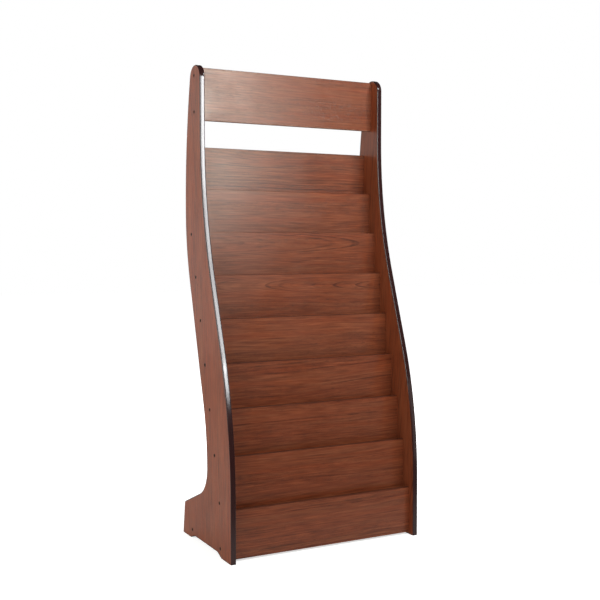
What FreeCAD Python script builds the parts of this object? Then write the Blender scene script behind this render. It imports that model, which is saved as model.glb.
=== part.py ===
"""Periodical display rack: eight stepped pockets between two S-shaped side panels.

All sizes are in millimetres.  The rack is drawn from its front edge (y = 0, rear is +y) and
its floor (z = 0, up is +z), with x = 0 in the middle of its width.  Each node is moved back by
half of the depth when it is saved, so the saved origin is the bottom centre of the whole rack.
Pockets and pocket boards are numbered from the top: board 1 is the rear wall of pocket 1, and
board 9 is the low front board.
"""
import FreeCAD, Part
import math
import os

V = FreeCAD.Vector

# ---- sheet stock and trim ---------------------------------------------------------------
PANEL_THICKNESS = 15.0          # side panels
BOARD_THICKNESS = 15.0          # header and pocket boards
FLOOR_THICKNESS = 15.0          # pocket floors
BASE_THICKNESS = 15.0           # base board
STRIP_THICKNESS = 1.0           # flat edge strips glued on the boards and under the panels
STRIP_ROUND = 0.7               # rounding of a strip's long outer edges
CAP_THICKNESS = 2.5             # domed cap of the T-shaped edge moulding
CAP_ROUND = 1.9                 # rounding of the cap's two long edges
TONGUE_DEPTH = 6.0              # tongue of the moulding, pressed into the panel's edge
TONGUE_THICKNESS = 2.0
GROOVE_ROOM = 0.5               # the groove is this much deeper than the tongue

# ---- pockets -----------------------------------------------------------------------------
POCKETS = 8
POCKET_WIDTH = 570.0            # clear width between the side panels
POCKET_DEPTH = 18.0             # clear depth from one board to the next
POCKET_FRONT = 121.5            # depth of a pocket below the top of its front board
FRONT_BOARD_TOP = 141.0         # top of the low front board
FRONT_BOARD_LIFT = 6.5          # the front board stays clear of the floor by this much
FIRST_RISE = 138.5              # front board to the next board
SECOND_RISE = 125.5
RISE = 122.4                    # every later board above the one in front of it

# ---- header ------------------------------------------------------------------------------
HEADER_GAP = 71.6               # open gap between the top board and the header
HEADER_HEIGHT = 148.0
HEADER_SETBACK = 36.5           # header's front face behind the panel's upper front edge
HEAD_MARGIN = 6.0               # panel above the header

# ---- side panel outline --------------------------------------------------------------------
DEPTH = 357.0                   # front foot to rear foot
FRONT_SETBACK = 22.0            # front board behind the panel's lower front edge
TOP_SETBACK = 80.0              # top board behind the panel's upper front edge
LOWER_FRONT_TOP = 25.0          # lower front edge stays upright this far above the front board
UPPER_FRONT_START = 36.5        # upper front edge is upright from this far above the top board
FRONT_LOW_BEND = 1230.0
FRONT_HIGH_BEND = 1240.0
BELLY_MARGIN = 20.5             # rearmost point of the back edge behind the top board
BELLY_DROP = 405.0              # that point below the top of the panel
BELLY_BEND = 737.0
NAPE_BEND = 1790.0              # long bend from the belly up to the head
HEAD_LEAN = 11.9                # degrees that the back edge leans forward at the head
WAIST_BOARD = 6                 # the waist is measured from this pocket board
WAIST_MARGIN = 31.5             # waist behind that board's rear face
WAIST_BEND = 655.0
FLARE_BEND = 90.0               # bend from the waist out to the rear foot
FLARE_SLOPE = 22.5              # degrees that the foot's upper edge falls to the rear
HEEL_HEIGHT = 95.5              # top of the rear foot's end
HEEL_SETBACK = 14.5             # top of the rear foot's end in front of its lowest point
HEEL_BEND = 10.0
FRONT_FOOT = 67.0               # length of the front foot on the floor
REAR_FOOT = 64.0                # length of the rear foot on the floor
ARCH_HEIGHT = 11.3              # underside between the feet above the floor
ARCH_RUN = 27.0                 # length over which the underside rises from a foot
ARCH_BEND = 24.0

# ---- base --------------------------------------------------------------------------------
BASE_CLEARANCE = 18.0           # underside of the base board above the floor
BASE_REAR_MARGIN = 39.0         # base board's rear edge in front of the rear foot's end
BASE_SCREW_INSET = 37.0         # base screws from the base board's long edges

# ---- fasteners -----------------------------------------------------------------------------
PANEL_SCREW_LENGTH = 50.0       # connecting screws through the side panels
PANEL_SCREW_HEAD = 10.0
PANEL_SCREW_SHANK = 7.0
PANEL_SCREW_THREAD = 6.0
HEX_SOCKET = 4.0                # across flats
HEX_SOCKET_DEPTH = 3.0
WOOD_SCREW_HEAD = 7.0           # screws through the boards into the floors' rear edges
WOOD_SCREW_SHANK = 3.5
WOOD_SCREW_THREAD = 3.0
CROSS_ARM = 4.2                 # length of each bar of a wood screw's cross recess
CROSS_WIDTH = 0.8
CROSS_DEPTH = 1.4
SCREW_RIM = 0.6                 # straight rim above a head's cone
SCREW_TIP = 0.8                 # radius at a screw's end
FLOOR_SCREW_LENGTH = 29.0
BASE_SCREW_LENGTH = 40.0
SCREW_SINK = 0.3                # heads sit this far below the surface
SCREWS_PER_FLOOR = 3
HEADER_SCREW_INSET = 23.0       # header screws from the header's top and bottom
DOWEL_DIAMETER = 8.0
DOWEL_LENGTH = 30.0
DOWEL_IN_PANEL = 10.0
DOWEL_CHAMFER = 1.0
DOWEL_INSET = 32.0              # dowels from a board's top and bottom
HOLE_CLEARANCE = 0.1            # on the radius, round screws and dowels
HOLE_BOTTOM = 0.5               # blind holes are this much deeper than what they hold

# ---- places worked out from the sizes above ---------------------------------------------
STEP = BOARD_THICKNESS + POCKET_DEPTH
BOARDS = POCKETS + 1
INNER_X = POCKET_WIDTH / 2
OUTER_X = INNER_X + PANEL_THICKNESS


def board_front(number):
    """Return the y of the front face of a pocket board."""
    return FRONT_SETBACK + (BOARDS - number) * STEP


def board_back(number):
    """Return the y of the rear face of a pocket board."""
    return board_front(number) + BOARD_THICKNESS


def board_top(number):
    """Return the z of the top of a pocket board, with its edge strip."""
    steps = BOARDS - number
    rises = [FIRST_RISE, SECOND_RISE] + [RISE] * steps
    return FRONT_BOARD_TOP + sum(rises[:steps])


def floor_top(pocket):
    """Return the z of the upper face of a pocket's floor."""
    if pocket == POCKETS:
        return BASE_TOP
    return board_top(pocket + 1) - POCKET_FRONT


def board_bottom(number):
    """Return the z of the lower edge of a pocket board."""
    if number == BOARDS:
        return FRONT_BOARD_LIFT
    if number == POCKETS:
        return BASE_TOP
    return floor_top(number) - FLOOR_THICKNESS


BASE_TOP = BASE_CLEARANCE + BASE_THICKNESS
BASE_FRONT = board_back(BOARDS)
BASE_REAR = DEPTH - BASE_REAR_MARGIN
UPPER_FRONT_Y = board_front(1) - TOP_SETBACK
HEADER_FRONT = UPPER_FRONT_Y + HEADER_SETBACK
HEADER_BOTTOM = board_top(1) + HEADER_GAP
HEADER_TOP = HEADER_BOTTOM + HEADER_HEIGHT
HEIGHT = HEADER_TOP + HEAD_MARGIN
BELLY_Y = board_back(1) + BELLY_MARGIN
WAIST_Y = board_back(WAIST_BOARD) + WAIST_MARGIN


# ---- the side panel's outline ------------------------------------------------------------
def tangent_length(radius, turn):
    """Return how far a bend of this radius and turn reaches from its corner."""
    return radius * math.tan(turn / 2)


def s_bend(low, high, low_bend, high_bend):
    """Return the two corners of an S between two upright stretches of an edge.

    low and high are the (y, z) points where the edge stops and starts again to be upright.
    Both bends shrink together if the S is too short for them.
    """
    run, rise = high[0] - low[0], high[1] - low[1]
    bends = low_bend + high_bend
    fit = min(1.0, 0.98 * (run * run + rise * rise) / (2 * run * bends))
    bends *= fit
    straight = math.sqrt((bends - run) ** 2 + rise ** 2 - bends ** 2)
    lean = math.atan2(rise, bends - run) - math.atan2(straight, bends)
    low_z = low[1] + tangent_length(low_bend * fit, lean)
    high_z = high[1] - tangent_length(high_bend * fit, lean)
    return [(low[0], low_z, low_bend * fit), (high[0], high_z, high_bend * fit)]


def head_corners():
    """Return the corners of the head, from the upper front edge to the nape."""
    lean = math.radians(HEAD_LEAN)
    nape_z = HEIGHT - BELLY_DROP + tangent_length(NAPE_BEND, lean)
    rear_y = BELLY_Y - (HEIGHT - nape_z) * math.tan(lean)
    reach = math.tan(math.pi / 4) + math.tan((math.pi / 2 - lean) / 2)
    top_round = 0.98 * (rear_y - UPPER_FRONT_Y) / reach
    return [(UPPER_FRONT_Y, HEIGHT, top_round), (rear_y, HEIGHT, top_round),
            (BELLY_Y, nape_z, NAPE_BEND)]


def upper_corners():
    """Return the corners from the front foot over the head to the rear foot."""
    lower_front = (0.0, FRONT_BOARD_TOP + LOWER_FRONT_TOP)
    upper_front = (UPPER_FRONT_Y, board_top(1) + UPPER_FRONT_START)
    heel_y = DEPTH - HEEL_SETBACK
    slope = math.radians(FLARE_SLOPE)
    flare_z = HEEL_HEIGHT + (heel_y - WAIST_Y) * math.tan(slope)
    waist_z = flare_z + tangent_length(FLARE_BEND, math.pi / 2 - slope)
    waist, belly = s_bend((WAIST_Y, waist_z), (BELLY_Y, HEIGHT - BELLY_DROP),
                          WAIST_BEND, BELLY_BEND)
    corners = [(0.0, 0.0, 0.0)]
    corners += s_bend(lower_front, upper_front, FRONT_LOW_BEND, FRONT_HIGH_BEND)
    corners += head_corners()
    corners += [belly, waist, (WAIST_Y, flare_z, FLARE_BEND), (heel_y, HEEL_HEIGHT, HEEL_BEND)]
    return corners + [(DEPTH, 0.0, 0.0)]


def under_corners():
    """Return the corners of the underside, from the rear foot to the front foot."""
    rear_arch = DEPTH - REAR_FOOT
    return [(rear_arch, 0.0, ARCH_BEND), (rear_arch - ARCH_RUN, ARCH_HEIGHT, ARCH_BEND),
            (FRONT_FOOT + ARCH_RUN, ARCH_HEIGHT, ARCH_BEND), (FRONT_FOOT, 0.0, ARCH_BEND)]


def direction(start, end):
    """Return the unit direction and the length from one corner to the next."""
    run, rise = end[0] - start[0], end[1] - start[1]
    length = math.hypot(run, rise)
    return run / length, rise / length, length


def fitted(corners):
    """Return the corners with each bend limited to the room between its neighbours."""
    count = len(corners)
    radii = [corner[2] for corner in corners]
    reach = []
    for i in range(count):
        before = direction(corners[i - 1], corners[i])
        after = direction(corners[i], corners[(i + 1) % count])
        cosine = before[0] * after[0] + before[1] * after[1]
        reach.append(math.tan(math.acos(max(-1.0, min(1.0, cosine))) / 2))
    for i in range(count):
        j = (i + 1) % count
        room = direction(corners[i], corners[j])[2]
        used = radii[i] * reach[i] + radii[j] * reach[j]
        if used > room + 1e-6:
            radii[i] *= room / used
            radii[j] *= room / used
    return [(corner[0], corner[1], radius) for corner, radius in zip(corners, radii)]


def inset_corners(corners, insets):
    """Return the corners with each edge moved inwards by its own inset.

    The corners run clockwise, and edge i goes from corner i to the next.  A bend keeps its
    centre, so its radius grows in a hollow and shrinks on a round.
    """
    count = len(corners)
    moved = []
    for i in range(count):
        ay, az, _ = direction(corners[i - 1], corners[i])
        by, bz, _ = direction(corners[i], corners[(i + 1) % count])
        y, z, radius = corners[i]
        first, second = insets[i - 1], insets[i]
        cross = ay * bz - az * by
        along = (second - first * (ay * by + az * bz)) / cross
        moved_y = y + az * first + ay * along
        moved_z = z - ay * first + az * along
        if radius > 0:
            radius += first if cross > 0 else -first
        moved.append((moved_y, moved_z, max(radius, 0.0)))
    return moved


def outline_face(x, corners):
    """Return a flat face at x with a bend at each corner that has a radius."""
    count = len(corners)
    starts, ends, bends = [], [], []
    for i in range(count):
        ay, az, _ = direction(corners[i - 1], corners[i])
        by, bz, _ = direction(corners[i], corners[(i + 1) % count])
        y, z, radius = corners[i]
        turn = math.acos(max(-1.0, min(1.0, ay * by + az * bz)))
        reach = tangent_length(radius, turn)
        starts.append(V(x, y - ay * reach, z - az * reach))
        ends.append(V(x, y + by * reach, z + bz * reach))
        sagitta = radius / math.cos(turn / 2) - radius
        inward = V(0, by - ay, bz - az)
        inward.normalize()
        bends.append(V(x, y, z) + inward * sagitta if radius > 0 else None)
    edges = []
    for i in range(count):
        j = (i + 1) % count
        if bends[i]:
            edges.append(Part.Arc(starts[i], bends[i], ends[i]).toShape())
        if ends[i].distanceToPoint(starts[j]) > 1e-4:
            edges.append(Part.LineSegment(ends[i], starts[j]).toShape())
    return Part.Face(Part.Wire(edges))


UPPER = upper_corners()
OUTLINE = fitted(UPPER + under_corners())
UPPER_COUNT = len(UPPER)


def panel_outline(upper_inset, under_inset):
    """Return the whole outline with its upper edges and its underside set in."""
    insets = [upper_inset] * (UPPER_COUNT - 1)
    insets += [under_inset] * (len(OUTLINE) - len(insets))
    return inset_corners(OUTLINE, insets)


def upper_band(outer, inner):
    """Return the corners of the band between two outlines, without the underside."""
    return outer[:UPPER_COUNT] + inner[:UPPER_COUNT][::-1]


def under_band(outer, inner):
    """Return the corners of the band between two outlines along the underside."""
    outer_run = outer[UPPER_COUNT - 1:] + outer[:1]
    inner_run = inner[UPPER_COUNT - 1:] + inner[:1]
    return outer_run + inner_run[::-1]


def slab(corners, x, thickness):
    """Return an outline's solid from x over a thickness."""
    return outline_face(x, corners).extrude(V(thickness, 0, 0))


# ---- turned pieces and their holes ---------------------------------------------------------
def turned(profile):
    """Return the solid of a list of (radius, height) points turned about the z axis."""
    points = [V(0, 0, profile[0][1])]
    points += [V(radius, 0, height) for radius, height in profile]
    points += [V(0, 0, profile[-1][1]), points[0]]
    return Part.Face(Part.makePolygon(points)).revolve(V(0, 0, 0), V(0, 0, 1), 360)


def screw_profile(head, shank, thread, plain, length, grow=0.0, deeper=0.0):
    """Return the outline of a countersunk screw that points down from z = 0."""
    cone = (head - shank) / 2
    neck = (shank - thread) / 2
    mouth = SCREW_SINK if grow else 0.0
    return [(head / 2 + grow, mouth), (head / 2 + grow, -SCREW_RIM),
            (shank / 2 + grow, -SCREW_RIM - cone), (shank / 2 + grow, -plain),
            (thread / 2 + grow, -plain - neck), (thread / 2 + grow, -length + thread / 2 - deeper),
            (SCREW_TIP + grow, -length - deeper)]


def panel_screw(hole=False):
    """Return a connecting screw with a hexagon socket, or the hole that it needs."""
    grow, deeper = (HOLE_CLEARANCE, HOLE_BOTTOM) if hole else (0.0, 0.0)
    plain = PANEL_THICKNESS - SCREW_SINK
    body = turned(screw_profile(PANEL_SCREW_HEAD, PANEL_SCREW_SHANK, PANEL_SCREW_THREAD,
                                plain, PANEL_SCREW_LENGTH, grow, deeper))
    if hole:
        return body
    corner = HEX_SOCKET / math.sqrt(3)
    points = [V(corner * math.cos(i * math.pi / 3), corner * math.sin(i * math.pi / 3), 1)
              for i in range(7)]
    socket = Part.Face(Part.makePolygon(points)).extrude(V(0, 0, -1 - HEX_SOCKET_DEPTH))
    return body.cut(socket)


def wood_screw(length, hole=False):
    """Return a countersunk wood screw with a cross recess, or the hole that it needs."""
    grow, deeper = (HOLE_CLEARANCE, HOLE_BOTTOM) if hole else (0.0, 0.0)
    body = turned(screw_profile(WOOD_SCREW_HEAD, WOOD_SCREW_SHANK, WOOD_SCREW_THREAD,
                                BOARD_THICKNESS, length, grow, deeper))
    if hole:
        return body
    for size_x, size_y in ((CROSS_ARM, CROSS_WIDTH), (CROSS_WIDTH, CROSS_ARM)):
        corner = V(-size_x / 2, -size_y / 2, -CROSS_DEPTH)
        body = body.cut(Part.makeBox(size_x, size_y, CROSS_DEPTH + 1, corner))
    return body


def dowel(hole=False):
    """Return a dowel along z with its joint at z = 0, or the holes that it needs."""
    radius = DOWEL_DIAMETER / 2
    low, high = -(DOWEL_LENGTH - DOWEL_IN_PANEL), DOWEL_IN_PANEL
    if hole:
        return turned([(radius + HOLE_CLEARANCE, high + HOLE_BOTTOM),
                       (radius + HOLE_CLEARANCE, low - HOLE_BOTTOM)])
    small = radius - DOWEL_CHAMFER
    return turned([(small, high), (radius, high - DOWEL_CHAMFER),
                   (radius, low + DOWEL_CHAMFER), (small, low)])


def placed(shape, position, axis=V(0, 0, 1), degrees=0.0):
    """Return a copy that is turned about the origin and then moved."""
    copy = shape.copy()
    copy.rotate(V(0, 0, 0), axis, degrees)
    copy.translate(position)
    return copy


def from_right(shape, x, y, z):
    """Return a copy of a z piece that points to the left (-x) from a place on the right."""
    return placed(shape, V(x, y, z), V(0, 1, 0), 90)


def mirrored(shape):
    """Return the left-hand twin of a right-hand shape."""
    return shape.mirror(V(0, 0, 0), V(1, 0, 0))


# ---- where the fasteners go ---------------------------------------------------------------
def panel_screw_places():
    """Return the (y, z) of every connecting screw in a side panel."""
    header_y = HEADER_FRONT + BOARD_THICKNESS / 2
    places = [(header_y, HEADER_TOP - HEADER_SCREW_INSET),
              (header_y, HEADER_BOTTOM + HEADER_SCREW_INSET)]
    for pocket in range(1, POCKETS):
        middle = board_back(pocket + 1) + POCKET_DEPTH / 2
        places.append((middle, floor_top(pocket) - FLOOR_THICKNESS / 2))
    base_z = BASE_CLEARANCE + BASE_THICKNESS / 2
    places += [(BASE_FRONT + BASE_SCREW_INSET, base_z), (BASE_REAR - BASE_SCREW_INSET, base_z)]
    return places


def dowel_places():
    """Return the (y, z) of every dowel in a side panel."""
    places = []
    for number in range(1, BOARDS + 1):
        middle = board_front(number) + BOARD_THICKNESS / 2
        places.append((middle, board_top(number) - DOWEL_INSET))
        places.append((middle, board_bottom(number) + DOWEL_INSET))
    return places


def screw_xs():
    """Return the x of each screw along a board."""
    pitch = POCKET_WIDTH / SCREWS_PER_FLOOR
    return [(i - (SCREWS_PER_FLOOR - 1) / 2) * pitch for i in range(SCREWS_PER_FLOOR)]


def floor_screws(hole=False):
    """Return the screws through the boards' rear faces into the pocket floors."""
    screw = wood_screw(FLOOR_SCREW_LENGTH, hole)
    return [placed(screw, V(x, board_back(pocket) - SCREW_SINK,
                            floor_top(pocket) - FLOOR_THICKNESS / 2), V(1, 0, 0), -90)
            for pocket in range(1, POCKETS) for x in screw_xs()]


def base_screws(hole=False):
    """Return the screws from under the base board into the board that stands on it."""
    screw = wood_screw(BASE_SCREW_LENGTH, hole)
    middle = board_front(POCKETS) + BOARD_THICKNESS / 2
    return [placed(screw, V(x, middle, BASE_CLEARANCE + SCREW_SINK), V(1, 0, 0), 180)
            for x in screw_xs()]


PANEL_SCREWS = [from_right(panel_screw(), OUTER_X - SCREW_SINK, y, z)
                for y, z in panel_screw_places()]
PANEL_SCREW_HOLES = [from_right(panel_screw(hole=True), OUTER_X - SCREW_SINK, y, z)
                     for y, z in panel_screw_places()]
DOWELS = [from_right(dowel(), INNER_X, y, z) for y, z in dowel_places()]
DOWEL_HOLES = [from_right(dowel(hole=True), INNER_X, y, z) for y, z in dowel_places()]
SIDE_HOLES = PANEL_SCREW_HOLES + DOWEL_HOLES
ALL_HOLES = (SIDE_HOLES + [mirrored(hole) for hole in SIDE_HOLES]
             + floor_screws(hole=True) + base_screws(hole=True))


def drilled(shape):
    """Return a shape with every fastener's hole that reaches it."""
    box = shape.BoundBox
    near = [hole for hole in ALL_HOLES if box.intersect(hole.BoundBox)]
    return shape.cut(near) if near else shape


# ---- pieces ----------------------------------------------------------------------------------
def side_panel():
    """Return the right side panel, grooved for its moulding and drilled."""
    body_outline = panel_outline(CAP_THICKNESS, STRIP_THICKNESS)
    panel = slab(body_outline, INNER_X, PANEL_THICKNESS)
    depth = CAP_THICKNESS + TONGUE_DEPTH + GROOVE_ROOM
    groove = slab(upper_band(body_outline, panel_outline(depth, STRIP_THICKNESS)),
                  INNER_X + (PANEL_THICKNESS - TONGUE_THICKNESS) / 2, TONGUE_THICKNESS)
    return drilled(panel.cut(groove))


def long_edges(shape, z_above, inner_corners):
    """Return the outer long edges of a moulding: those off its inner face and off the floor."""
    inner = slab(inner_corners, INNER_X - 1, PANEL_THICKNESS + 2)
    chosen = []
    for edge in shape.Edges:
        box = edge.BoundBox
        if box.XLength > 1e-3 or box.ZMax < z_above:
            continue
        middle = edge.valueAt((edge.FirstParameter + edge.LastParameter) / 2)
        if not inner.isInside(middle, 1e-3, True):
            chosen.append(edge)
    return chosen


def edge_moulding():
    """Return the right panel's edge moulding: a domed cap and the tongue behind it."""
    body_outline = panel_outline(CAP_THICKNESS, STRIP_THICKNESS)
    cap_inner = panel_outline(CAP_THICKNESS, 0.0)
    cap = slab(upper_band(OUTLINE, cap_inner), INNER_X, PANEL_THICKNESS)
    rounding = min(CAP_ROUND, 0.8 * CAP_THICKNESS, 0.4 * PANEL_THICKNESS)
    cap = cap.makeFillet(rounding, long_edges(cap, CAP_THICKNESS, cap_inner))
    tongue = slab(upper_band(body_outline, panel_outline(CAP_THICKNESS + TONGUE_DEPTH,
                                                         STRIP_THICKNESS)),
                  INNER_X + (PANEL_THICKNESS - TONGUE_THICKNESS) / 2, TONGUE_THICKNESS)
    return cap.fuse(tongue).removeSplitter()


def foot_strip():
    """Return the flat strip under the right panel's feet and arch."""
    cap_inner = panel_outline(CAP_THICKNESS, 0.0)
    body_outline = panel_outline(CAP_THICKNESS, STRIP_THICKNESS)
    return slab(under_band(cap_inner, body_outline), INNER_X, PANEL_THICKNESS)


def board(front, bottom, depth, height):
    """Return a board that spans the pocket width."""
    return Part.makeBox(POCKET_WIDTH, depth, height, V(-INNER_X, front, bottom))


def long_strip(front, bottom, depth, height, rounded_side):
    """Return an edge strip over the pocket width with its two outer long edges rounded.

    rounded_side is the axis and sign of the strip's outer face, such as ("z", 1).
    """
    strip = board(front, bottom, depth, height)
    axis, sign = rounded_side
    place = {"y": (front, front + depth), "z": (bottom, bottom + height)}[axis]
    outer = place[1] if sign > 0 else place[0]
    edges = [edge for edge in strip.Edges
             if edge.BoundBox.XLength > POCKET_WIDTH / 2
             and abs(getattr(edge.CenterOfMass, axis) - outer) < 1e-6]
    return strip.makeFillet(min(STRIP_ROUND, 0.8 * STRIP_THICKNESS), edges)


def pocket_board(number):
    """Return a pocket board without its edge strip."""
    bottom = board_bottom(number)
    height = board_top(number) - STRIP_THICKNESS - bottom
    return drilled(board(board_front(number), bottom, BOARD_THICKNESS, height))


def pocket_board_strip(number):
    """Return the strip on the top edge of a pocket board."""
    return long_strip(board_front(number), board_top(number) - STRIP_THICKNESS,
                      BOARD_THICKNESS, STRIP_THICKNESS, ("z", 1))


def pocket_floor(pocket):
    """Return the floor between two pocket boards."""
    return drilled(board(board_back(pocket + 1), floor_top(pocket) - FLOOR_THICKNESS,
                         POCKET_DEPTH, FLOOR_THICKNESS))


def header_board():
    """Return the header without its two edge strips."""
    return drilled(board(HEADER_FRONT, HEADER_BOTTOM + STRIP_THICKNESS, BOARD_THICKNESS,
                         HEADER_HEIGHT - 2 * STRIP_THICKNESS))


def base_board():
    """Return the board that ties the panels together at the feet."""
    depth = BASE_REAR - STRIP_THICKNESS - BASE_FRONT
    return drilled(board(BASE_FRONT, BASE_CLEARANCE, depth, BASE_THICKNESS))


def pieces():
    """Return every node's shape by its name."""
    nodes = {}
    for name, right in (("side_panel", side_panel()), ("edge_moulding", edge_moulding()),
                        ("foot_strip", foot_strip()),
                        ("panel_screws", Part.makeCompound(PANEL_SCREWS)),
                        ("board_dowels", Part.makeCompound(DOWELS))):
        nodes[name + "_right"] = right
        nodes[name + "_left"] = mirrored(right)
    nodes["header_board"] = header_board()
    nodes["header_top_strip"] = long_strip(HEADER_FRONT, HEADER_TOP - STRIP_THICKNESS,
                                           BOARD_THICKNESS, STRIP_THICKNESS, ("z", 1))
    nodes["header_bottom_strip"] = long_strip(HEADER_FRONT, HEADER_BOTTOM,
                                              BOARD_THICKNESS, STRIP_THICKNESS, ("z", -1))
    for number in range(1, BOARDS + 1):
        nodes[f"pocket_board_{number}"] = pocket_board(number)
        nodes[f"pocket_board_strip_{number}"] = pocket_board_strip(number)
    for pocket in range(1, POCKETS):
        nodes[f"pocket_floor_{pocket}"] = pocket_floor(pocket)
    nodes["base_board"] = base_board()
    nodes["base_rear_strip"] = long_strip(BASE_REAR - STRIP_THICKNESS, BASE_CLEARANCE,
                                          STRIP_THICKNESS, BASE_THICKNESS, ("y", 1))
    nodes["floor_screws"] = Part.makeCompound(floor_screws())
    nodes["base_screws"] = Part.makeCompound(base_screws())
    return nodes


def main():
    """Write one STEP file for each node."""
    os.makedirs("parts", exist_ok=True)
    for name, shape in pieces().items():
        shape.translate(V(0, -DEPTH / 2, 0))
        shape.exportStep(os.path.join("parts", name + ".step"))
        print(f"{name:24s} solids {len(shape.Solids):3d}  volume {shape.Volume / 1000:9.2f} cm3"
              f"  valid {shape.isValid()}")
    print(f"width {2 * OUTER_X:.1f}  depth {DEPTH:.1f}  height {HEIGHT:.1f}")


main()
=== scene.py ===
"""The looks of a periodical display rack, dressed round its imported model."""
import logging
import math
from dataclasses import dataclass, field
from enum import Enum
from typing import Iterable, Optional, Sequence

import bmesh
import bpy
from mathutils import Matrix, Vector


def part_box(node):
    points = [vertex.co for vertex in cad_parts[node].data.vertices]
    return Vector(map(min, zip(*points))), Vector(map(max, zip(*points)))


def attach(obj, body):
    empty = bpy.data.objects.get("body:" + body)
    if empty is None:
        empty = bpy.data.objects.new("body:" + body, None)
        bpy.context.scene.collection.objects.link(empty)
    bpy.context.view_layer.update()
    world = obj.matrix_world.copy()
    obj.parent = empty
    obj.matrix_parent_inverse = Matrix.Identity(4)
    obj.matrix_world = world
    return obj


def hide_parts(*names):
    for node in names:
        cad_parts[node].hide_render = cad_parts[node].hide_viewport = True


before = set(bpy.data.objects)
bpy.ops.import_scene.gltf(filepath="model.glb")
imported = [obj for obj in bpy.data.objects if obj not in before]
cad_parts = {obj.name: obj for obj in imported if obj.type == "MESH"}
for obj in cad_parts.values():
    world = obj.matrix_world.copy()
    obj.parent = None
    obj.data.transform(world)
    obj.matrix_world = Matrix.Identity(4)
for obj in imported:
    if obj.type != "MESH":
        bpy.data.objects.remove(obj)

LOG = logging.getLogger("rack")
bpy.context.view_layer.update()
BOARDS = 9
TOUCHING = 1e-6
Pair = tuple[float, float]
Point = tuple[float, float, float]
Tint = tuple[float, float, float]
Colour = tuple[float, float, float, float]
WHITE: Colour = (1.0, 1.0, 1.0, 1.0)


class Side(Enum):
    """A side of the rack, as the sign of its x."""

    LEFT = -1
    RIGHT = 1

    @property
    def label(self) -> str:
        """Return the side's word in a node's name."""
        return self.name.lower()


class Grain(Enum):
    """The direction in which a board's grain runs."""

    ALONG_X = "x"
    UPRIGHT = "z"


@dataclass(frozen=True)
class Drawn:
    """A noise drawn out along a board or a strip, by its repeats per metre."""

    along: float
    across: float
    detail: float = 2.0
    roughness: float = 0.5


class Pattern(Enum):
    """A pattern in the wood."""

    SWAY = Drawn(1.3, 5.0)
    RIPPLE = Drawn(6.0, 45.0)
    BROKEN_LINE = Drawn(17.0, 240.0)
    STREAK = Drawn(13.0, 420.0, 4.0, 0.6)
    VEIN = Drawn(14.0, 190.0)
    BAND = Drawn(1.2, 24.0, 3.0, 0.55)
    WARM_PATCH = Drawn(2.4, 75.0, 3.0, 0.6)
    PORE = Drawn(46.0, 1900.0, 1.0)


class Fade(Enum):
    """The values of a pattern between which its effect fades in."""

    LATE_WOOD = (0.45, 0.92)
    RING_END = (1.0, 0.93)
    BREAK = (0.36, 0.56)
    WARMTH = (0.32, 0.68)
    PORE = (0.60, 0.70)
    PORE_BAND = (0.35, 0.60)
    HANDLING = (0.35, 0.65)
    CHIP_GAP = (0.35, 0.75)


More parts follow.
